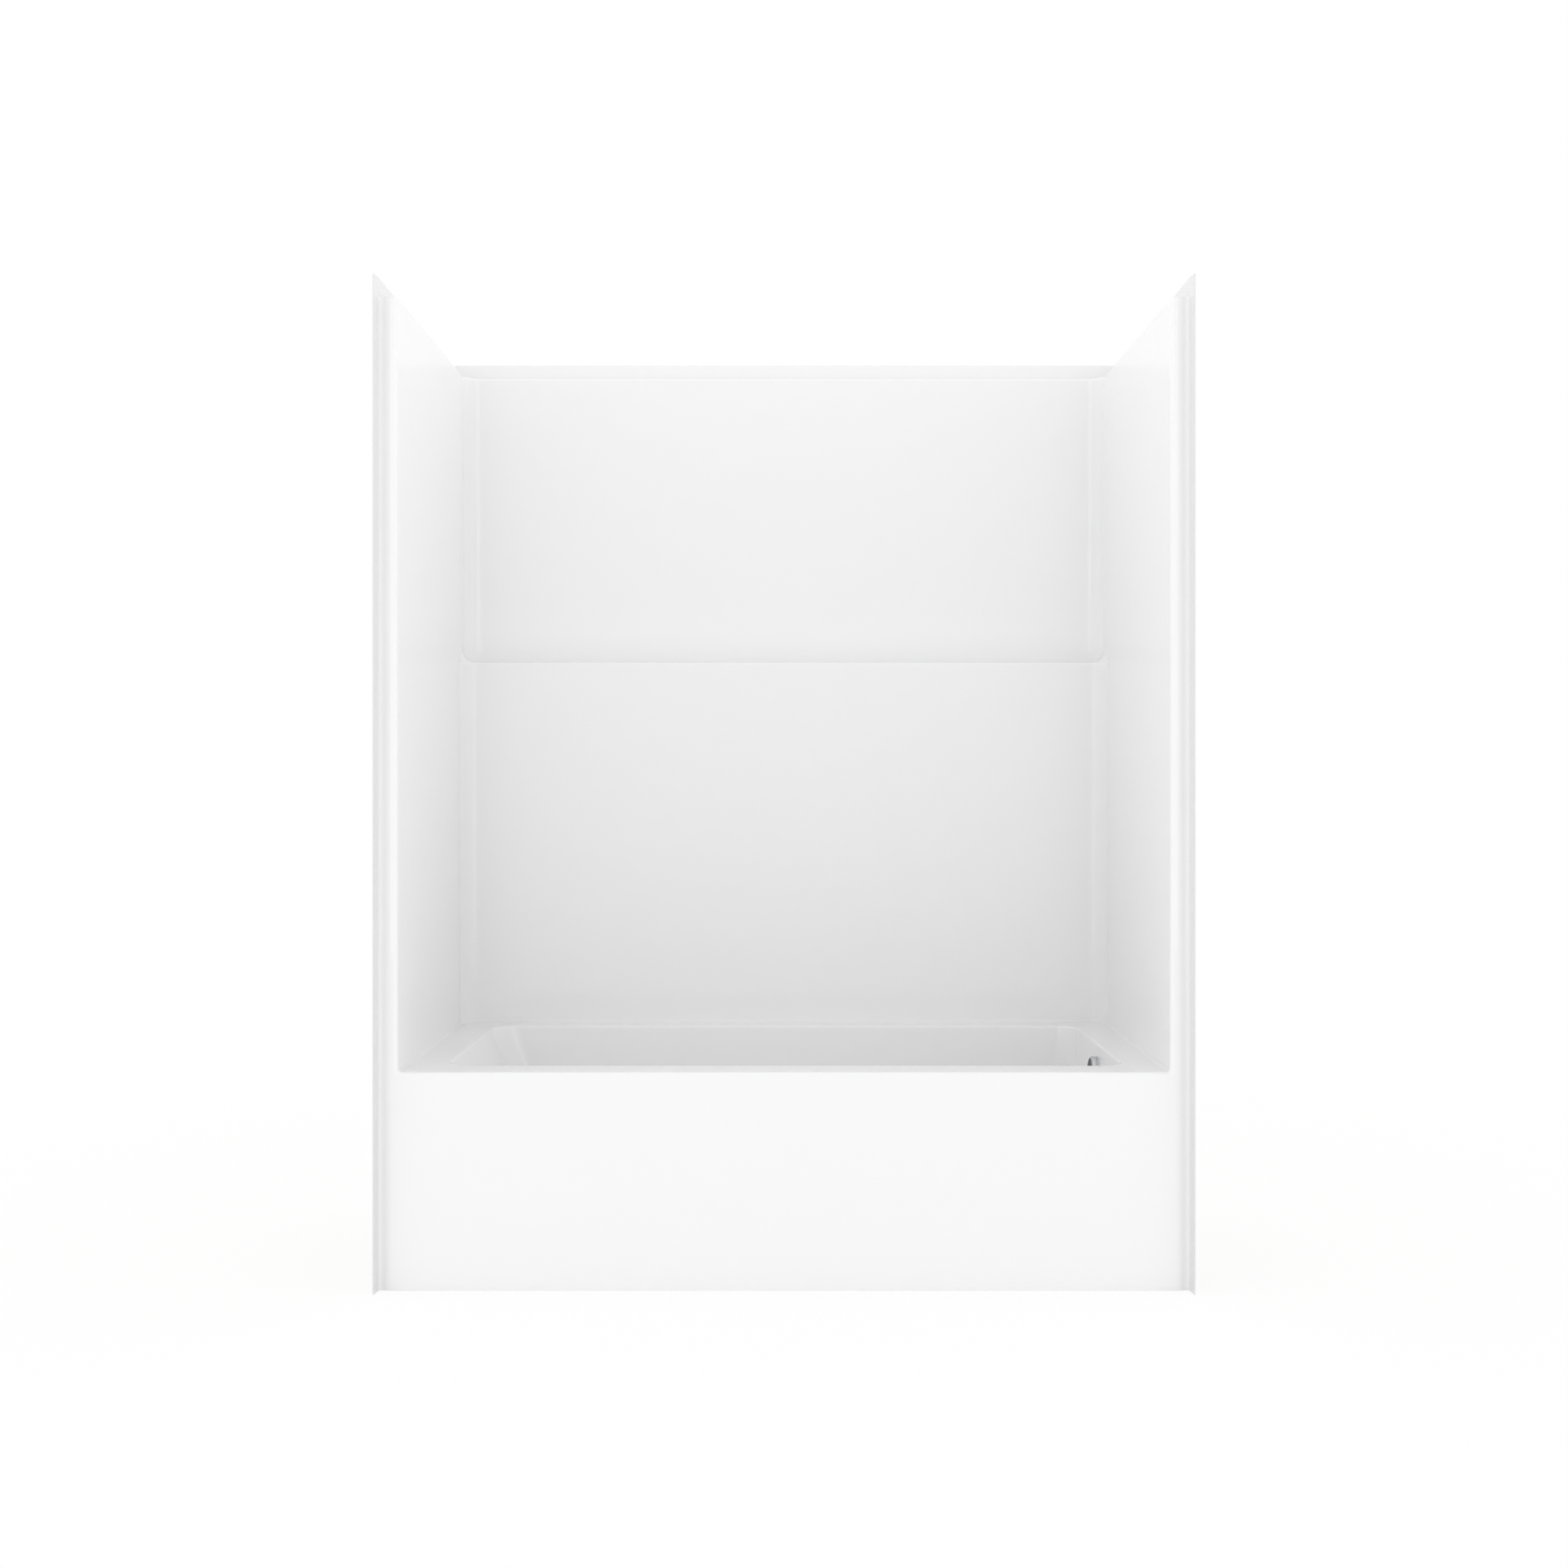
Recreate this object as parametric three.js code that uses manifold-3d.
// A one-piece alcove bathtub and shower unit: moulded shell, hidden timber and the waste and overflow set.
// Millimetres, +Z up, +X towards the drain end, +Y towards the back wall, origin at the middle of the base.
import * as THREE from "three";
import { mergeVertices } from "three/addons/utils/BufferGeometryUtils.js";
import Module from "manifold-3d";

const wasm = await Module();
wasm.setup();

// Driving dimensions of the whole unit
const unitWidth = 1524;
const unitDepth = 825.5;
const unitHeight = 1892;
const wallThickness = 4;
const tubThickness = 5;
const touchGap = 0.3;
const cutOverrun = 10;

// Walls: drawn in a little towards the bottom, most at the back corners
const flangeHeight = 34.6;
const flangeLap = 40;
const faceSetback = 28;
const columnWidth = 36.5;
const columnCurveDepth = 12;
const columnEdgeRadius = 8;
const sideDraftFront = 1;
const sideDraftBack = 7;
const cornerRadius = 40;
const ledgeHeight = 1209.6;
const ledgeDepth = 66;
const ledgeEdgeRadius = 7;
const ledgeCoveRadius = 30;
const upperWallSetback = 29.75;
const backDraft = 7;
const topEdgeRadius = 6;
const deckCoveRadius = 14;

// Tub: deck, opening and bowl
const deckHeight = 407.4;
const frontRimWidth = 74.5;
const backDeckWidth = 55;
const leftDeckWidth = 69.5;
const rightDeckWidth = 64.5;
const openingDraft = 8;
const tubFloorHeight = 80;
const bowlCornerRadius = 48;
const bowlFloorRadius = 60;
const rimRadius = 8;
const backrestLean = THREE.MathUtils.degToRad(21);
const wallLean = THREE.MathUtils.degToRad(4);

// Waste and overflow
const drainFromEnd = 138;
const overflowDrop = 56.4;
const pipeFromOverflow = 40;
const pipeRadius = 19;
const pipeWall = 3;
const socketClearance = 0.5;
const socketWall = 4.5;
const drainFlangeRadius = 36;
const shoeFlangeRadius = 40;

// Places that follow from those sizes
const outerX = unitWidth / 2;
const frontY = -unitDepth / 2;
const backY = unitDepth / 2;
const faceY = frontY + faceSetback;
const columnRootY = faceY + columnCurveDepth;
const ledgeTopZ = unitHeight - flangeHeight;
const sideTopX = outerX - wallThickness - columnWidth + sideDraftFront;
const sideFootX = sideTopX - sideDraftFront;
const upperTopY = backY - upperWallSetback;
const upperFootY = upperTopY - backDraft;
const lowerTopY = upperFootY - ledgeDepth;
const lowerFootY = lowerTopY - backDraft;
const openingFrontY = faceY + frontRimWidth;
const openingBackY = lowerFootY - backDeckWidth;
const openingLeftX = -sideFootX + leftDeckWidth;
const openingRightX = sideFootX - rightDeckWidth;
const tubFloorZ = tubFloorHeight;
const tubUndersideZ = tubFloorZ - tubThickness;
const tubMiddleY = (openingFrontY + openingBackY) / 2;

// Materials, coloured as in the photograph
const gelcoat = new THREE.MeshStandardMaterial({ color: 0xf4f4f3, roughness: 0.12, metalness: 0 });
const chrome = new THREE.MeshStandardMaterial({ color: 0xc9cbcd, roughness: 0.08, metalness: 1 });
const brass = new THREE.MeshStandardMaterial({ color: 0xb08d4a, roughness: 0.3, metalness: 1 });
const rubber = new THREE.MeshStandardMaterial({ color: 0x26262a, roughness: 0.8, metalness: 0 });
const pipePlastic = new THREE.MeshStandardMaterial({ color: 0xe9e9e4, roughness: 0.4, metalness: 0 });
const nutPlastic = new THREE.MeshStandardMaterial({ color: 0x3c3f44, roughness: 0.5, metalness: 0 });
const timber = new THREE.MeshStandardMaterial({ color: 0xc8a26b, roughness: 0.75, metalness: 0 });

const unit = new THREE.Group();

// Adds one named piece to a group.
function addPiece(group, name, geometry, material) {
  const mesh = new THREE.Mesh(geometry, material);
  mesh.name = name;
  group.add(mesh);
  return mesh;
}

// A closed geometry with its faces turned outwards, as a solid that can be joined and cut.
function solid(geometry) {
  const bare = geometry.index ? geometry.toNonIndexed() : geometry.clone();
  bare.deleteAttribute("normal");
  bare.deleteAttribute("uv");
  const merged = mergeVertices(bare);
  const corners = Uint32Array.from(merged.index.array);
  const place = new THREE.Vector3();
  const [a, b, c] = [new THREE.Vector3(), new THREE.Vector3(), new THREE.Vector3()];
  let volume = 0;
  for (let i = 0; i < corners.length; i += 3) {
    a.fromBufferAttribute(merged.attributes.position, corners[i]);
    b.fromBufferAttribute(merged.attributes.position, corners[i + 1]);
    c.fromBufferAttribute(merged.attributes.position, corners[i + 2]);
    volume += a.dot(place.crossVectors(b, c));
  }
  if (volume < 0) corners.reverse();
  return new wasm.Manifold(
    new wasm.Mesh({ numProp: 3, vertProperties: merged.attributes.position.array, triVerts: corners }),
  );
}

// A solid as a geometry again.
function shaped(body) {
  const mesh = body.getMesh();
  const geometry = new THREE.BufferGeometry();
  geometry.setAttribute("position", new THREE.BufferAttribute(mesh.vertProperties, mesh.numProp));
  geometry.setIndex(new THREE.BufferAttribute(mesh.triVerts, 1));
  geometry.computeVertexNormals();
  return geometry;
}

// A box between two corners.
function block(low, high) {
  const [x, y, z] = high.map((value, axis) => value - low[axis]);
  const geometry = new THREE.BoxGeometry(x, y, z);
  return geometry.translate(low[0] + x / 2, low[1] + y / 2, low[2] + z / 2);
}

// Points of an arc in a plane, from one angle to another in degrees, both ends included.
function arc(x, y, radius, from, to, steps) {
  return Array.from({ length: steps + 1 }, (_, i) => {
    const angle = THREE.MathUtils.degToRad(from + ((to - from) * i) / steps);
    return new THREE.Vector2(x + radius * Math.cos(angle), y + radius * Math.sin(angle));
  });
}

// An outline in plan, raised from one height to another.
function raised(outline, low, high) {
  const settings = { depth: high - low, bevelEnabled: false };
  return new THREE.ExtrudeGeometry(new THREE.Shape(outline), settings).translate(0, 0, low);
}

// A strip of even thickness behind an open path: the path is its seen face, and the strip lies to its left.
function strip(path, thickness) {
  const behind = path.map((point, i) => {
    const into = path[Math.max(i - 1, 0)];
    const out = path[Math.min(i + 1, path.length - 1)];
    const before = point.clone().sub(i ? into : point.clone().multiplyScalar(2).sub(out)).normalize();
    const after = (i < path.length - 1 ? out.clone().sub(point) : before.clone()).normalize();
    const normal = new THREE.Vector2(-before.y - after.y, before.x + after.x).normalize();
    const square = new THREE.Vector2(-before.y, before.x);
    return point.clone().addScaledVector(normal, thickness / normal.dot(square));
  });
  return [...path, ...behind.reverse()];
}

// A path followed by its mirror image in the middle plane, taken backwards.
function mirroredPath(path) {
  return [...path, ...path.map((point) => new THREE.Vector2(-point.x, point.y)).reverse()];
}

// A body through a stack of level outlines that all have as many points: each is {z, points}.
function stack(given) {
  const clockwise = THREE.ShapeUtils.isClockWise(given[0].points);
  const levels = given.map(({ z, points }) => ({ z, points: clockwise ? [...points].reverse() : points }));
  const count = levels[0].points.length;
  const places = levels.flatMap(({ z, points }) => points.flatMap((point) => [point.x, point.y, z]));
  const faces = [];
  for (let level = 0; level < levels.length - 1; level++)
    for (let i = 0; i < count; i++) {
      const a = level * count + i;
      const b = level * count + ((i + 1) % count);
      faces.push(a, b, b + count, a, b + count, a + count);
    }
  const top = (levels.length - 1) * count;
  for (const [i, j, k] of THREE.ShapeUtils.triangulateShape(levels[0].points, [])) faces.push(k, j, i);
  for (const [i, j, k] of THREE.ShapeUtils.triangulateShape(levels.at(-1).points, []))
    faces.push(top + i, top + j, top + k);
  const geometry = new THREE.BufferGeometry();
  geometry.setAttribute("position", new THREE.Float32BufferAttribute(places, 3));
  return geometry.setIndex(faces);
}

// A ring or solid of revolution about +Z from its half section, a list of [radius, height].
function turned(section, sides) {
  const points = section.map(([radius, height]) => new THREE.Vector2(radius, height));
  const closed = points[0].x > 0 ? [...points, points[0].clone()] : points;
  return shaped(solid(new THREE.LatheGeometry(closed, sides).rotateX(Math.PI / 2)));
}

// How far a cove or an edge of this radius stands in from its wall, at a height above its flat.
function coveInset(above, radius) {
  return above >= radius ? 0 : radius - Math.sqrt(radius ** 2 - (radius - above) ** 2);
}

// Heights that step round a quarter circle that starts at a height and goes up or down by its radius.
function quarterHeights(start, radius, steps) {
  const turns = Array.from({ length: steps + 1 }, (_, i) => (Math.PI / 2) * (i / steps));
  return turns.map((turn) => start + radius * (1 - Math.cos(turn)));
}

// Walls: the room inside them, with round back corners and front edges that open outwards
const cornerSteps = 6;
const edgeSteps = 4;
const wallSteps = 4;

// The room in plan at one height, from its front edge on the right round to its front edge on the left.
function roomOutline({ front, back, backPlane, radius, edge, grown }) {
  const backHalf = back + grown;
  const frontHalf = front + grown;
  const plane = backPlane + grown;
  const round = radius + grown;
  const rightHalf = [
    ...arc(frontHalf + edge, faceY + edge, edge, 270, 180, edgeSteps),
    ...arc(backHalf - round, plane - round, round, 0, 90, cornerSteps),
  ];
  const start = new THREE.Vector2(frontHalf + edge, faceY - flangeLap - cutOverrun);
  const half = edge ? [start, ...rightHalf] : [start, ...rightHalf.slice(edgeSteps + 1)];
  return mirroredPath(half);
}

// How far down the wall a height is, from none at the top to one at the deck.
function fallShare(z) {
  return (ledgeTopZ - z) / (ledgeTopZ - deckHeight);
}

// One height of the room below the ledge.
function lowerLevel(z, grown, edge) {
  const foot = grown ? 0 : coveInset(z - deckHeight, deckCoveRadius);
  const up = (z - deckHeight) / (ledgeHeight - deckHeight);
  const lip = grown ? 0 : coveInset(ledgeHeight - z, ledgeEdgeRadius);
  return {
    z,
    points: roomOutline({
      front: sideTopX - sideDraftFront * fallShare(z) - foot,
      back: sideTopX - sideDraftBack * fallShare(z) - foot,
      backPlane: lowerFootY + backDraft * up - foot + lip,
      radius: cornerRadius,
      edge,
      grown,
    }),
  };
}

// One height of the room above the ledge.
function upperLevel(z, grown, edge) {
  const foot = grown ? 0 : coveInset(z - ledgeHeight, ledgeCoveRadius);
  const up = (z - ledgeHeight) / (ledgeTopZ - ledgeHeight);
  const lip = grown ? 0 : coveInset(ledgeTopZ - z, topEdgeRadius);
  return {
    z,
    points: roomOutline({
      front: sideTopX - sideDraftFront * fallShare(z) - foot + lip,
      back: sideTopX - sideDraftBack * fallShare(z) - foot + lip,
      backPlane: upperFootY + backDraft * up - foot + lip,
      radius: cornerRadius,
      edge,
      grown,
    }),
  };
}

// Heights that part a wall between two others into even steps, without the ends.
function between(low, high) {
  return Array.from({ length: wallSteps - 1 }, (_, i) => low + ((high - low) * (i + 1)) / wallSteps);
}

// The room itself, and the same room grown by the wall's thickness
const footHeights = quarterHeights(deckHeight, deckCoveRadius, edgeSteps);
const ledgeEdgeHeights = quarterHeights(ledgeHeight, -ledgeEdgeRadius, edgeSteps).reverse();
const ledgeCoveHeights = quarterHeights(ledgeHeight, ledgeCoveRadius, cornerSteps);
const topEdgeHeights = quarterHeights(ledgeTopZ, -topEdgeRadius, edgeSteps).reverse();
const lowerBetween = between(footHeights.at(-1), ledgeEdgeHeights[0]);
const lowerHeights = [...footHeights, ...lowerBetween, ...ledgeEdgeHeights];
const upperBetween = between(ledgeCoveHeights.at(-1), topEdgeHeights[0]);
const upperHeights = [...ledgeCoveHeights, ...upperBetween, ...topEdgeHeights];
const [jacketLow, jacketLedge] = [deckHeight + touchGap, ledgeHeight - wallThickness];
const lowerJacketHeights = [jacketLow, ...between(jacketLow, ledgeHeight), ledgeHeight];
const upperJacketHeights = [jacketLedge, ...between(jacketLedge, ledgeTopZ), ledgeTopZ];
// The lower room's plan runs on up past the ledge's cove, so that only the ledge itself has the cove
const lowerRoomLevels = lowerHeights.map((z) => lowerLevel(z, 0, columnEdgeRadius));
lowerRoomLevels.push({ ...lowerRoomLevels.at(-1), z: ledgeHeight + ledgeCoveRadius });
const lowerRoom = solid(stack(lowerRoomLevels));
const upperRoom = solid(stack(upperHeights.map((z) => upperLevel(z, 0, columnEdgeRadius))));
const lowerJacket = solid(stack(lowerJacketHeights.map((z) => lowerLevel(z, wallThickness, 0))));
const upperJacket = solid(stack(upperJacketHeights.map((z) => upperLevel(z, wallThickness, 0))));

const columnCurveRun = columnWidth - columnEdgeRadius - sideDraftFront;
const columnCurveRadius = (columnCurveRun ** 2 + columnCurveDepth ** 2) / (2 * columnCurveDepth);
const columnCurveAngle = THREE.MathUtils.radToDeg(Math.asin(columnCurveRun / columnCurveRadius));
const columnFaceX = outerX - wallThickness - columnCurveRun;

// The seen face of the left flange and column in plan, from the flange's free edge to the flat of the face.
function leftColumnPath() {
  const curve = arc(
    -columnFaceX,
    faceY + columnCurveRadius,
    columnCurveRadius,
    270 - columnCurveAngle,
    270,
    cornerSteps,
  );
  return [new THREE.Vector2(-outerX + wallThickness, frontY), ...curve];
}

// Both columns with their flanges, standing on the tub, and the ledge and flange round the top
const columnEndX = sideTopX - columnEdgeRadius;
const columnPath = [...leftColumnPath(), new THREE.Vector2(-columnEndX, faceY)];
const columnOutline = strip(columnPath, wallThickness);
const leftColumn = solid(raised(columnOutline, deckHeight + touchGap, ledgeTopZ));
const frontFlange = solid(
  block([-outerX, frontY, deckHeight + touchGap], [-outerX + wallThickness, columnRootY, unitHeight]),
);
const leftSide = leftColumn.add(frontFlange);
const columns = leftSide.add(leftSide.mirror([1, 0, 0]));
const ledgeOutline = mirroredPath([
  new THREE.Vector2(-outerX, backY),
  new THREE.Vector2(-outerX, columnRootY),
  ...columnPath.slice(1),
]);
const topLedge = solid(raised(ledgeOutline, ledgeTopZ - wallThickness, ledgeTopZ));
const flangeBox = solid(block([-outerX, frontY, ledgeTopZ - wallThickness], [outerX, backY, unitHeight]));
const flangeRoom = solid(
  block(
    [-outerX + wallThickness, frontY - cutOverrun, ledgeTopZ - wallThickness - cutOverrun],
    [outerX - wallThickness, backY - wallThickness, unitHeight + cutOverrun],
  ),
);
const topFlange = flangeBox.subtract(flangeRoom);
const aheadOfFace = solid(
  block(
    [-outerX - cutOverrun, frontY - flangeLap - cutOverrun, 0],
    [outerX + cutOverrun, faceY + wallThickness, unitHeight + cutOverrun],
  ),
);
const aboveTop = solid(
  stack(
    [ledgeTopZ, unitHeight + cutOverrun].map((z) => ({ ...upperLevel(ledgeTopZ, 0, columnEdgeRadius), z })),
  ),
);
const walls = lowerJacket
  .add(upperJacket)
  .subtract(aheadOfFace)
  .add(columns)
  .add(topLedge)
  .add(topFlange)
  .subtract(lowerRoom.add(upperRoom))
  .subtract(aboveTop);

// The walls part at the corners, where the side walls run into the round of the back corner
const ledgeUndersideZ = ledgeHeight - wallThickness;
const cornerStartX = sideTopX - sideDraftBack - cornerRadius;
const lowerPartY = lowerFootY - cornerRadius;
const upperPartY = upperFootY - cornerRadius;
const farX = outerX + cutOverrun;
const farY = backY + cutOverrun;
const farZ = unitHeight + cutOverrun;
const leftEndShare = solid(block([-farX, -farY, 0], [0, lowerPartY - touchGap, ledgeUndersideZ])).add(
  solid(block([-farX, -farY, ledgeUndersideZ], [-cornerStartX - touchGap, upperPartY - touchGap, farZ])),
);
const backShare = solid(block([-farX, lowerPartY, 0], [farX, farY, ledgeUndersideZ - touchGap]))
  .add(solid(block([-farX, upperPartY, ledgeUndersideZ - touchGap], [farX, farY, farZ])))
  .add(solid(block([-cornerStartX, lowerPartY, ledgeUndersideZ - touchGap], [cornerStartX, farY, farZ])));
addPiece(unit, "left_end_wall", shaped(walls.intersect(leftEndShare)), gelcoat);
addPiece(unit, "right_end_wall", shaped(walls.intersect(leftEndShare.mirror([1, 0, 0]))), gelcoat);
addPiece(unit, "back_wall", shaped(walls.intersect(backShare)), gelcoat);

// Apron: the front panel with the lower columns and flanges, turned back along the top as the rim's front
const rimStripWidth = 24;

// An outline in Y and Z, drawn out from one X to another.
function drawnAcross(outline, low, high) {
  const turn = new THREE.Matrix4().makeBasis(
    new THREE.Vector3(0, 1, 0),
    new THREE.Vector3(0, 0, 1),
    new THREE.Vector3(1, 0, 0),
  );
  return raised(outline, low, high).applyMatrix4(turn);
}

const apronPanel = solid(raised(strip(mirroredPath(leftColumnPath()), wallThickness), 0, deckHeight));
const rimStrip = solid(
  block([-sideTopX, faceY, deckHeight - wallThickness], [sideTopX, faceY + rimStripWidth, deckHeight]),
);
const rimEdgeCut = solid(
  drawnAcross(
    [
      new THREE.Vector2(faceY - cutOverrun, deckHeight - columnEdgeRadius),
      ...arc(faceY + columnEdgeRadius, deckHeight - columnEdgeRadius, columnEdgeRadius, 180, 90, edgeSteps),
      new THREE.Vector2(faceY + columnEdgeRadius, deckHeight + cutOverrun),
      new THREE.Vector2(faceY - cutOverrun, deckHeight + cutOverrun),
    ],
    -sideFootX,
    sideFootX,
  ),
);
addPiece(unit, "apron", shaped(apronPanel.add(rimStrip).subtract(rimEdgeCut)), gelcoat);

// Tub: deck and bowl in one moulding
// How far a bowl wall stands in from the opening at a height, for its lean; grown is the moulding's outside.
function bowlInset(z, lean, grown) {
  const below = deckHeight - z;
  const floorZ = tubFloorZ - grown;
  const radius = bowlFloorRadius + grown;
  const line = (depth) => rimRadius + depth * Math.tan(lean) - grown / Math.cos(lean);
  const above = z - floorZ;
  if (above < radius * (1 - Math.sin(lean))) {
    const foot = line(deckHeight - floorZ) + radius * Math.tan(Math.PI / 4 - lean / 2);
    return foot - Math.sqrt(radius ** 2 - (radius - above) ** 2);
  }
  return line(below) - (grown ? 0 : coveInset(below, rimRadius));
}

// One height of the bowl.
function bowlLevel(z, grown) {
  const side = bowlInset(z, wallLean, grown);
  const rest = bowlInset(z, backrestLean, grown);
  const flare = Math.max(0, rimRadius - Math.max(side - (deckHeight - z) * Math.tan(wallLean), 0));
  const radius = bowlCornerRadius + (grown || flare);
  const [front, back] = [openingFrontY + side, openingBackY - side];
  const [rightFront, rightBack] = [openingRightX - side, openingRightX - side - openingDraft];
  const [leftFront, leftBack] = [openingLeftX + rest, openingLeftX + rest + openingDraft];
  return {
    z,
    points: [
      ...arc(rightFront - radius, front + radius, radius, 270, 360, cornerSteps),
      ...arc(rightBack - radius, back - radius, radius, 0, 90, cornerSteps),
      ...arc(leftBack + radius, back - radius, radius, 90, 180, cornerSteps),
      ...arc(leftFront + radius, front + radius, radius, 180, 270, cornerSteps),
    ],
  };
}

// Heights that step round the foot of the bowl.
function bowlHeights(grown) {
  return quarterHeights(tubFloorZ - grown, bowlFloorRadius + grown, cornerSteps);
}

const rimHeights = quarterHeights(deckHeight, -rimRadius, edgeSteps).reverse();
const bowlRoom = solid(
  stack([
    ...[...bowlHeights(0), ...rimHeights].map((z) => bowlLevel(z, 0)),
    { ...bowlLevel(deckHeight, 0), z: deckHeight + cutOverrun },
  ]),
);
const jacketHeights = [...bowlHeights(tubThickness), deckHeight - tubThickness / 2];
const bowlJacket = solid(stack(jacketHeights.map((z) => bowlLevel(z, tubThickness))));
const deck = solid(
  block(
    [-sideTopX - wallThickness, faceY + rimStripWidth + touchGap, deckHeight - tubThickness],
    [sideTopX + wallThickness, lowerFootY + wallThickness, deckHeight],
  ),
);

// Places of the drain and of the overflow on the end wall
const drainX = openingRightX - drainFromEnd;
const overflowZ = deckHeight - overflowDrop;
const overflowX = openingRightX - openingDraft / 2 - bowlInset(overflowZ, wallLean, 0);
const pipeX = overflowX + pipeFromOverflow;
const roundSides = 24;
const dialSides = 36;

// A bar of round section standing on a point, along +Z.
function rod(radius, low, high) {
  return new THREE.CylinderGeometry(radius, radius, high - low, roundSides)
    .rotateX(Math.PI / 2)
    .translate(0, 0, (low + high) / 2);
}

// The head stands square to the end wall, which leans outwards and runs in a little towards the back
const endWallRun = openingBackY - openingFrontY - 2 * (bowlInset(overflowZ, wallLean, 0) + bowlCornerRadius);
const overflowHead = new THREE.Group();
overflowHead.position.set(overflowX, tubMiddleY, overflowZ);
overflowHead.rotation.set(0, wallLean - Math.PI / 2, Math.atan(openingDraft / endWallRun), "ZYX");
overflowHead.updateMatrixWorld(true);
unit.add(overflowHead);

const overflowHoleRadius = 30;
const barrelRadius = 22.5;
const overflowHole = solid(
  rod(overflowHoleRadius, -tubThickness - cutOverrun, cutOverrun).applyMatrix4(overflowHead.matrixWorld),
);
const drainHoleRod = rod(barrelRadius + touchGap, tubUndersideZ - cutOverrun, tubFloorZ + cutOverrun);
const drainHole = solid(drainHoleRod.translate(drainX, tubMiddleY, 0));
const tub = deck.add(bowlJacket).subtract(bowlRoom).subtract(overflowHole).subtract(drainHole);
addPiece(unit, "tub_basin", shaped(tub), gelcoat);

// Timber that carries the tub: a board under its floor on three runners
const boardThickness = 12;
const boardMargin = 8;
const runnerWidth = 38;
const runnerInset = 60;
const runnerCount = 3;
const flatInset = bowlInset(tubUndersideZ, wallLean, tubThickness) + boardMargin;
const flatStart = bowlInset(tubUndersideZ, backrestLean, tubThickness) + boardMargin;
const flatLeft = openingLeftX + openingDraft + flatStart;
const boardRight = drainX - shoeFlangeRadius - boardMargin;
const boardTopZ = tubUndersideZ - touchGap;
const boardLow = [flatLeft, openingFrontY + flatInset, boardTopZ - boardThickness];
addPiece(unit, "base_board", block(boardLow, [boardRight, openingBackY - flatInset, boardTopZ]), timber);
for (let i = 0; i < runnerCount; i++) {
  const share = i / (runnerCount - 1);
  const middle = THREE.MathUtils.lerp(flatLeft + runnerInset, boardRight - runnerInset, share);
  const low = [middle - runnerWidth / 2, openingFrontY + flatInset, 0];
  const high = [middle + runnerWidth / 2, openingBackY - flatInset, boardLow[2] - touchGap];
  addPiece(unit, `base_runner_${i + 1}`, block(low, high), timber);
}

// Timber bonded behind the apron: a rail on the floor and a board that stiffens the panel
const railSize = 38;
const railInset = 70;
const apronBoardThickness = 15;
const apronBoardLow = 120;
const apronBoardDrop = 67.4;
const apronRearY = faceY + wallThickness + touchGap;
const railX = sideFootX - railInset;
const apronRail = block([-railX, apronRearY, 0], [railX, apronRearY + railSize, railSize]);
addPiece(unit, "apron_rail", apronRail, timber);
const apronBoardCorner = [railX, apronRearY + apronBoardThickness, deckHeight - apronBoardDrop];
addPiece(unit, "apron_board", block([-railX, apronRearY, apronBoardLow], apronBoardCorner), timber);

// Boards bonded across the backs of the walls, which follow the walls' draft
const stiffenerThickness = 19;
const stiffenerHeight = 90;
const stiffenerEndInset = 110;
const lowerBoardShare = 0.4395;
const upperBoardShare = 0.4174;

// The backs of the walls at a height: the ends of the end wall's outside, and the back wall's plane.
function wallBacks(z) {
  const level = z < ledgeHeight ? lowerLevel(z, wallThickness, 0) : upperLevel(z, wallThickness, 0);
  const [front, back] = level.points;
  const plane = Math.max(...level.points.map((point) => point.y));
  return { front, back, plane };
}

// A board behind an end wall, on the side given by its sign.
function sideBoard(side, low) {
  const levels = [low, low + stiffenerHeight].map((z) => {
    const { front, back } = wallBacks(z);
    const at = (y) => front.clone().lerp(back, (y - front.y) / (back.y - front.y)).x + touchGap;
    const [startY, endY] = [faceY + stiffenerEndInset, lowerPartY - stiffenerEndInset];
    const points = [
      new THREE.Vector2(side * at(startY), startY),
      new THREE.Vector2(side * (at(startY) + stiffenerThickness), startY),
      new THREE.Vector2(side * (at(endY) + stiffenerThickness), endY),
      new THREE.Vector2(side * at(endY), endY),
    ];
    return { z, points };
  });
  return shaped(solid(stack(levels)));
}

// A board behind the back wall.
function backBoard(low) {
  const half = cornerStartX - stiffenerEndInset;
  const levels = [low, low + stiffenerHeight].map((z) => {
    const y = wallBacks(z).plane + touchGap;
    const points = [
      new THREE.Vector2(-half, y),
      new THREE.Vector2(half, y),
      new THREE.Vector2(half, y + stiffenerThickness),
      new THREE.Vector2(-half, y + stiffenerThickness),
    ];
    return { z, points };
  });
  return shaped(solid(stack(levels)));
}

for (const [height, low] of [
  ["lower", THREE.MathUtils.lerp(deckHeight, ledgeHeight, lowerBoardShare)],
  ["upper", THREE.MathUtils.lerp(ledgeHeight, ledgeTopZ, upperBoardShare)],
]) {
  addPiece(unit, `left_wall_board_${height}`, sideBoard(-1, low), timber);
  addPiece(unit, `right_wall_board_${height}`, sideBoard(1, low), timber);
  addPiece(unit, `back_wall_board_${height}`, backBoard(low), timber);
}

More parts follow.
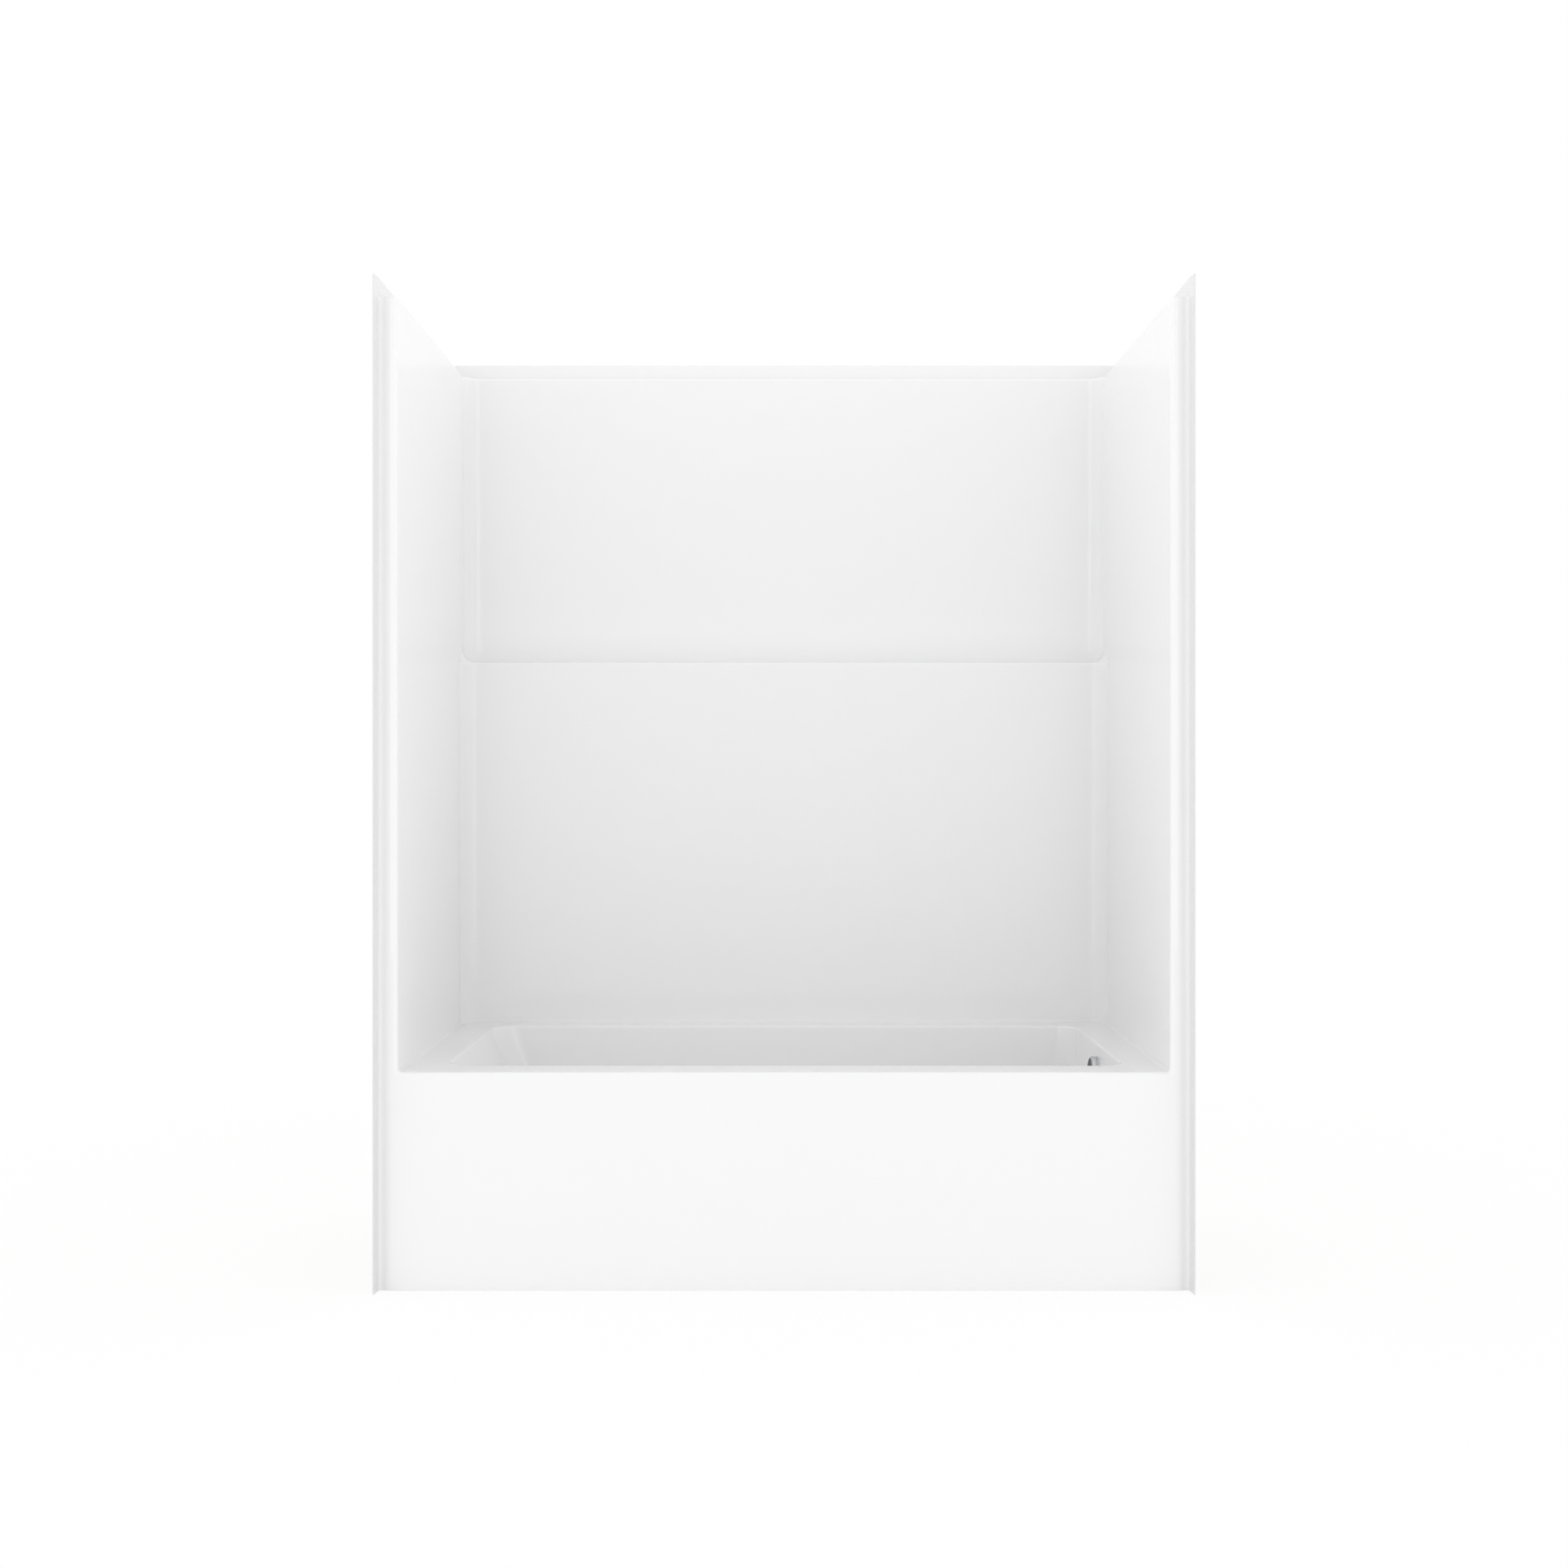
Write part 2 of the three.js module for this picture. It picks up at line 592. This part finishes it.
// Overflow head, drawn in its own frame: +Z along its axis into the bowl, from the seen face of the end wall
const plateRadius = 37;
const plateThickness = 3;
const plateBoreRadius = 20;
const plateHubRadius = 8;
const spokeWidth = 5;
const spokeCount = 3;
const spindleRadius = 5;
const spindleEnd = -44;
const dialRadius = 34;
const dialFront = 19;
const dialBack = 4;
const dialWall = 3;
const dialEdge = 5;
const dialHubRadius = 9;
const dialHubBack = 6;
const bobbinRadius = 13;
const bobbinWidth = 8;
const gasketThickness = 4;
const elbowBoreRadius = 20;
const elbowWall = 4;
const elbowDepth = 48;
const screwRadius = 2.2;
const screwHeadRadius = 3.5;
const screwHeadHeight = 1.8;
const screwCircle = 26;
const screwTurns = [Math.PI / 2, -Math.PI / 2];

// A bar of round section lying between two points.
function rodBetween(radius, from, to) {
  const along = new THREE.Vector3(...to).sub(new THREE.Vector3(...from));
  const up = new THREE.Vector3(0, 0, 1);
  const turn = new THREE.Quaternion().setFromUnitVectors(up, along.clone().normalize());
  return rod(radius, 0, along.length()).applyQuaternion(turn).translate(...from);
}

const spindleBore = spindleRadius + touchGap;
const plateLow = touchGap;
const plateHigh = plateLow + plateThickness;
let plate = solid(
  turned(
    [
      [plateBoreRadius, plateLow],
      [plateRadius, plateLow],
      [plateRadius, plateHigh - plateThickness / 2],
      [plateRadius - plateThickness / 2, plateHigh],
      [plateBoreRadius, plateHigh],
    ],
    dialSides,
  ),
).add(solid(rod(plateHubRadius, plateLow, plateHigh)));
for (let i = 0; i < spokeCount; i++) {
  const spokeEnd = [plateBoreRadius + touchGap, spokeWidth / 2, plateHigh];
  const spoke = block([0, -spokeWidth / 2, plateLow], spokeEnd);
  plate = plate.add(solid(spoke.rotateZ((Math.PI * 2 * i) / spokeCount)));
}
plate = plate.subtract(solid(rod(spindleBore, -cutOverrun, cutOverrun)));
for (const turn of screwTurns) {
  const hole = rod(screwRadius + touchGap, -cutOverrun, cutOverrun).translate(screwCircle, 0, 0);
  plate = plate.subtract(solid(hole.rotateZ(turn)));
}
addPiece(overflowHead, "overflow_plate", shaped(plate), chrome);

const dialInside = dialFront - dialWall;
addPiece(
  overflowHead,
  "overflow_dial",
  turned(
    [
      [0, dialFront],
      [dialRadius - dialEdge * 2, dialFront - touchGap],
      [dialRadius - dialEdge / 2, dialFront - dialEdge / 2],
      [dialRadius, dialFront - dialEdge],
      [dialRadius, dialBack],
      [dialRadius - dialWall, dialBack],
      [dialRadius - dialWall, dialInside],
      [dialHubRadius, dialInside],
      [dialHubRadius, dialHubBack],
      [spindleBore, dialHubBack],
      [spindleBore, dialInside],
      [0, dialInside],
    ],
    dialSides,
  ),
  chrome,
);
addPiece(overflowHead, "dial_spindle", rod(spindleRadius, spindleEnd, dialInside - touchGap), brass);
addPiece(
  overflowHead,
  "cable_bobbin",
  turned(
    [
      [spindleBore, spindleEnd],
      [bobbinRadius, spindleEnd],
      [bobbinRadius, spindleEnd + bobbinWidth],
      [spindleBore, spindleEnd + bobbinWidth],
    ],
    roundSides,
  ),
  nutPlastic,
);
screwTurns.forEach((turn, i) => {
  const head = rod(screwHeadRadius, plateHigh + touchGap, plateHigh + touchGap + screwHeadHeight);
  const shank = rod(screwRadius, -tubThickness - gasketThickness - elbowWall, plateHigh + screwHeadHeight);
  const screw = solid(head).add(solid(shank));
  const mesh = addPiece(overflowHead, `overflow_screw_${i + 1}`, shaped(screw), brass);
  mesh.position.set(screwCircle * Math.cos(turn), screwCircle * Math.sin(turn), 0);
});

const gasketHigh = -tubThickness - touchGap;
const gasketLow = gasketHigh - gasketThickness;
addPiece(
  overflowHead,
  "overflow_gasket",
  turned(
    [
      [overflowHoleRadius, gasketLow],
      [plateRadius, gasketLow],
      [plateRadius, gasketHigh],
      [overflowHoleRadius, gasketHigh],
    ],
    dialSides,
  ),
  rubber,
);

// Overflow elbow: a cup behind the wall with a socket that looks down, and a gland for the cable
const socketRadius = pipeRadius + socketClearance + socketWall;
const socketBore = pipeRadius + socketClearance;
const pipeBore = pipeRadius - pipeWall;
const elbowDropLength = 61;
const elbowSocketZ = overflowZ - elbowDropLength;
const glandRadius = 5;
const glandLength = 8;
const elbowHigh = gasketLow - touchGap;
const elbowLow = elbowHigh - elbowDepth;
const cup = turned(
  [
    [elbowBoreRadius, elbowHigh],
    [plateRadius, elbowHigh],
    [plateRadius, elbowHigh - elbowWall],
    [elbowBoreRadius + elbowWall, elbowHigh - elbowWall],
    [elbowBoreRadius + elbowWall, elbowLow],
    [0, elbowLow],
    [0, elbowLow + elbowWall],
    [elbowBoreRadius, elbowLow + elbowWall],
  ],
  roundSides,
).applyMatrix4(overflowHead.matrixWorld);
const elbowMiddle = overflowZ - pipeFromOverflow * Math.tan(wallLean);
const glandStart = [pipeX, tubMiddleY + elbowBoreRadius + touchGap, elbowMiddle];
const glandEnd = [pipeX, tubMiddleY + elbowBoreRadius + elbowWall + glandLength, elbowMiddle];
const elbowDrop = rod(socketRadius, elbowSocketZ, elbowMiddle).translate(pipeX, tubMiddleY, 0);
const elbowDropBore = rod(socketBore, elbowSocketZ - cutOverrun, elbowMiddle);
elbowDropBore.translate(pipeX, tubMiddleY, 0);
const elbowCupBore = rod(elbowBoreRadius, elbowLow + elbowWall, cutOverrun);
elbowCupBore.applyMatrix4(overflowHead.matrixWorld);
let elbow = solid(cup)
  .add(solid(elbowDrop))
  .add(solid(rodBetween(glandRadius, glandStart, glandEnd)))
  .subtract(solid(elbowDropBore))
  .subtract(solid(elbowCupBore));
for (const turn of screwTurns) {
  const hole = rod(screwRadius + touchGap, -elbowDepth, cutOverrun).translate(screwCircle, 0, 0);
  elbow = elbow.subtract(solid(hole.rotateZ(turn).applyMatrix4(overflowHead.matrixWorld)));
}
addPiece(unit, "overflow_elbow", shaped(elbow), pipePlastic);

// Slip nuts: a collar over a socket's end with a lip that grips the pipe
const nutWall = 5;
const nutOverlap = 12;
const nutLip = 4;
const nutClearance = 0.6;

// A slip nut about +Z, its lip below.
function slipNut() {
  const bore = socketRadius + nutClearance;
  return turned(
    [
      [bore, nutOverlap],
      [bore + nutWall, nutOverlap],
      [bore + nutWall, -touchGap - nutLip],
      [pipeRadius + nutClearance, -touchGap - nutLip],
      [pipeRadius + nutClearance, -touchGap],
      [bore, -touchGap],
    ],
    roundSides,
  );
}

// Tee below the overflow, with a socket up, a socket towards the drain and a spigot down to the waste
const wasteZ = 38;
const teeTopZ = 100;
const teeSocketDepth = 38;
const teeBranch = 50;
const branchSocketDepth = 20;
const teeFootZ = wasteZ - socketRadius;
const spigotEndZ = 2;
const tubeEndGap = 3;
const branchSocketX = -teeBranch + branchSocketDepth;
const branchEnd = [-teeBranch - cutOverrun, 0, wasteZ];
const branchSocketBore = rodBetween(socketBore, [branchSocketX, 0, wasteZ], branchEnd);
const tee = solid(rod(socketRadius, teeFootZ, teeTopZ))
  .add(solid(rod(pipeRadius, spigotEndZ, wasteZ)))
  .add(solid(rodBetween(socketRadius, [0, 0, wasteZ], [-teeBranch, 0, wasteZ])))
  .subtract(solid(rod(pipeBore, -cutOverrun, teeTopZ)))
  .subtract(solid(rod(socketBore, teeTopZ - teeSocketDepth, teeTopZ + cutOverrun)))
  .subtract(solid(rodBetween(pipeBore, [0, 0, wasteZ], [-teeBranch, 0, wasteZ])))
  .subtract(solid(branchSocketBore));
const teeMesh = addPiece(unit, "waste_tee", shaped(tee), pipePlastic);
teeMesh.position.set(pipeX, tubMiddleY, 0);

// The half section of a straight pipe.
const pipeSection = (length) => [
  [pipeBore, 0],
  [pipeRadius, 0],
  [pipeRadius, length],
  [pipeBore, length],
];
const overflowTubeLow = teeTopZ - teeSocketDepth + touchGap;
const overflowTubeHigh = elbowSocketZ + teeSocketDepth - tubeEndGap;
const overflowTube = addPiece(
  unit,
  "overflow_tube",
  turned(pipeSection(overflowTubeHigh - overflowTubeLow), roundSides),
  pipePlastic,
);
overflowTube.position.set(pipeX, tubMiddleY, overflowTubeLow);
const elbowNut = addPiece(unit, "elbow_nut", slipNut(), nutPlastic);
elbowNut.position.set(pipeX, tubMiddleY, elbowSocketZ);
const teeNut = addPiece(unit, "tee_nut", slipNut().rotateX(Math.PI), nutPlastic);
teeNut.position.set(pipeX, tubMiddleY, teeTopZ);

// Drain shoe under the floor, clamped by the drain flange through a gasket
const shoeFlangeThickness = 4.5;
const shoeWall = 5;
const shoeFloorZ = 14;
const shoeBranch = 62;
const shoeSocketDepth = 30;
const drainGasketThickness = 3;
const drainGasketHigh = tubUndersideZ - touchGap;
const drainGasketLow = drainGasketHigh - drainGasketThickness;
const shoeTopZ = drainGasketLow - touchGap;
const shoeBore = barrelRadius + touchGap;
const shoeGlandLength = 9;
const shoeRadius = shoeBore + shoeWall;
const shoeGlandEnd = shoeRadius + shoeGlandLength;
const shoeSocketX = shoeBranch - shoeSocketDepth;
const shoeSocketBore = rodBetween(socketBore, [shoeSocketX, 0, wasteZ], [shoeBranch + cutOverrun, 0, wasteZ]);
const shoe = solid(rod(shoeRadius, shoeFloorZ, shoeTopZ))
  .add(solid(rod(shoeFlangeRadius, shoeTopZ - shoeFlangeThickness, shoeTopZ)))
  .add(solid(rodBetween(socketRadius, [0, 0, wasteZ], [shoeBranch, 0, wasteZ])))
  .add(solid(rodBetween(glandRadius, [0, shoeBore + touchGap, wasteZ], [0, shoeGlandEnd, wasteZ])))
  .subtract(solid(rod(shoeBore, shoeFloorZ + shoeWall, shoeTopZ + cutOverrun)))
  .subtract(solid(rodBetween(pipeBore, [0, 0, wasteZ], [shoeBranch, 0, wasteZ])))
  .subtract(solid(shoeSocketBore));
const drainGroup = new THREE.Group();
drainGroup.position.set(drainX, tubMiddleY, 0);
unit.add(drainGroup);
addPiece(drainGroup, "drain_shoe", shaped(shoe), pipePlastic);
addPiece(
  drainGroup,
  "drain_gasket",
  turned(
    [
      [shoeBore, drainGasketLow],
      [shoeFlangeRadius, drainGasketLow],
      [shoeFlangeRadius, drainGasketHigh],
      [shoeBore, drainGasketHigh],
    ],
    roundSides,
  ),
  rubber,
);
const wastePipeStart = drainX + shoeBranch - shoeSocketDepth + touchGap;
const wastePipeEnd = pipeX - teeBranch + branchSocketDepth - touchGap;
const wastePipe = addPiece(
  unit,
  "waste_pipe",
  turned(pipeSection(wastePipeEnd - wastePipeStart), roundSides).rotateY(Math.PI / 2),
  pipePlastic,
);
wastePipe.position.set(wastePipeStart, tubMiddleY, wasteZ);
const shoeNut = addPiece(unit, "shoe_nut", slipNut().rotateY(-Math.PI / 2), nutPlastic);
shoeNut.position.set(drainX + shoeBranch, tubMiddleY, wasteZ);
const branchNut = addPiece(unit, "branch_nut", slipNut().rotateY(Math.PI / 2), nutPlastic);
branchNut.position.set(pipeX - teeBranch, tubMiddleY, wasteZ);

// Drain flange: a chrome rim on the bowl's floor, a barrel down into the shoe and a cross to guide the stem
const drainRimThickness = 2.5;
const barrelWall = 3;
const barrelLowZ = 56;
const crossLowZ = 63;
const crossHighZ = 66;
const crossHubRadius = 7;
const crossArmWidth = 4;
const crossArms = 4;
const stemRadius = 4;
const rimLowZ = tubFloorZ + touchGap;
const rimHighZ = rimLowZ + drainRimThickness;
let drainFlange = solid(
  turned(
    [
      [barrelRadius - barrelWall, barrelLowZ],
      [barrelRadius, barrelLowZ],
      [barrelRadius, rimLowZ],
      [drainFlangeRadius, rimLowZ],
      [drainFlangeRadius - drainRimThickness, rimHighZ],
      [barrelRadius - barrelWall, rimHighZ],
    ],
    roundSides,
  ),
).add(solid(rod(crossHubRadius, crossLowZ, crossHighZ)));
for (let i = 0; i < crossArms; i++) {
  const armEnd = [barrelRadius - barrelWall / 2, crossArmWidth / 2, crossHighZ];
  const arm = block([0, -crossArmWidth / 2, crossLowZ], armEnd);
  drainFlange = drainFlange.add(solid(arm.rotateZ((Math.PI * 2 * i) / crossArms)));
}
const stemBore = rod(stemRadius + touchGap, crossLowZ - cutOverrun, crossHighZ + cutOverrun);
drainFlange = drainFlange.subtract(solid(stemBore));
addPiece(drainGroup, "drain_flange", shaped(drainFlange), chrome);

// Stopper and its stem, which the rocking lever in the shoe pushes up
const stopperRadius = 30;
const stopperRimHeight = 1.5;
const stopperDome = 8;
const [domeFrom, domeTo, domeSteps] = [15, 75, 4];
const stemFootZ = 52;
const stopperLowZ = rimHighZ + touchGap;
addPiece(
  drainGroup,
  "drain_stopper",
  turned(
    [
      [0, stopperLowZ],
      [stopperRadius, stopperLowZ],
      [stopperRadius, stopperLowZ + stopperRimHeight],
      ...arc(0, 0, 1, domeFrom, domeTo, domeSteps).map(({ x, y }) => [
        stopperRadius * x,
        stopperLowZ + stopperRimHeight + (stopperDome - stopperRimHeight) * y,
      ]),
      [0, stopperLowZ + stopperDome],
    ],
    roundSides,
  ),
  chrome,
);
addPiece(drainGroup, "stopper_stem", rod(stemRadius, stemFootZ, stopperLowZ - touchGap), brass);

const leverReach = 16;
const leverClearance = 0.6;
const rollerRadius = 3;
const rollerWidth = 8;
const leverThickness = 2.4;
const leverBossRadius = 4.5;
const leverPinRadius = 2.2;
const leverZ = stemFootZ - leverClearance - rollerRadius;
const leverY = -leverReach;
const pinHalf = Math.sqrt(shoeBore ** 2 - (leverReach + leverPinRadius) ** 2) - touchGap;
const leverHalf = rollerWidth / 2;
const leverBoreRadius = leverPinRadius + touchGap;
const leverBore = rodBetween(leverBoreRadius, [-rollerWidth, leverY, leverZ], [rollerWidth, leverY, leverZ]);
const lever = solid(rodBetween(leverBossRadius, [-leverHalf, leverY, leverZ], [leverHalf, leverY, leverZ]))
  .add(solid(rodBetween(rollerRadius, [-leverHalf, 0, leverZ], [leverHalf, 0, leverZ])))
  .add(
    solid(
      block(
        [-leverHalf, leverY, leverZ - leverThickness / 2],
        [leverHalf, 0, leverZ + leverThickness / 2],
      ),
    ),
  )
  .subtract(solid(leverBore));
addPiece(drainGroup, "lift_lever", shaped(lever), brass);
const leverPin = rodBetween(leverPinRadius, [-pinHalf, leverY, leverZ], [pinHalf, leverY, leverZ]);
addPiece(drainGroup, "lever_pin", leverPin, brass);

// Control cable: one sheathed run from the gland on the elbow to the gland on the shoe
const cableRadius = 2.5;
const cableStand = 62;
const cableSides = 8;
const cableSteps = 70;
const cableStart = new THREE.Vector3(glandEnd[0], glandEnd[1] + touchGap, glandEnd[2]);
const cableFinish = new THREE.Vector3(drainX, tubMiddleY + shoeGlandEnd + touchGap, wasteZ);
const cableRoute = [
  cableStart,
  new THREE.Vector3(pipeX, cableStart.y + 10, cableStart.z),
  new THREE.Vector3(pipeX, tubMiddleY + cableStand - 6, cableStart.z - 9),
  new THREE.Vector3(pipeX, tubMiddleY + cableStand, cableStart.z - 32),
  new THREE.Vector3(pipeX, tubMiddleY + cableStand, 130),
  new THREE.Vector3(pipeX - 6, tubMiddleY + cableStand + 1, 78),
  new THREE.Vector3(pipeX - 34, tubMiddleY + cableStand + 4, 46),
  new THREE.Vector3(drainX + 60, tubMiddleY + cableStand + 7, wasteZ),
  new THREE.Vector3(drainX + 20, tubMiddleY + cableStand + 3, wasteZ),
  new THREE.Vector3(drainX + 3, tubMiddleY + cableStand - 8, wasteZ),
  new THREE.Vector3(drainX, cableFinish.y + 8, wasteZ),
  cableFinish,
];
const cableSection = new THREE.Shape(arc(0, 0, cableRadius, 0, 360 - 360 / cableSides, cableSides - 1));
const cable = new THREE.ExtrudeGeometry(cableSection, {
  steps: cableSteps,
  bevelEnabled: false,
  extrudePath: new THREE.CatmullRomCurve3(cableRoute, false, "centripetal"),
});
addPiece(unit, "control_cable", cable, nutPlastic);

export default unit;
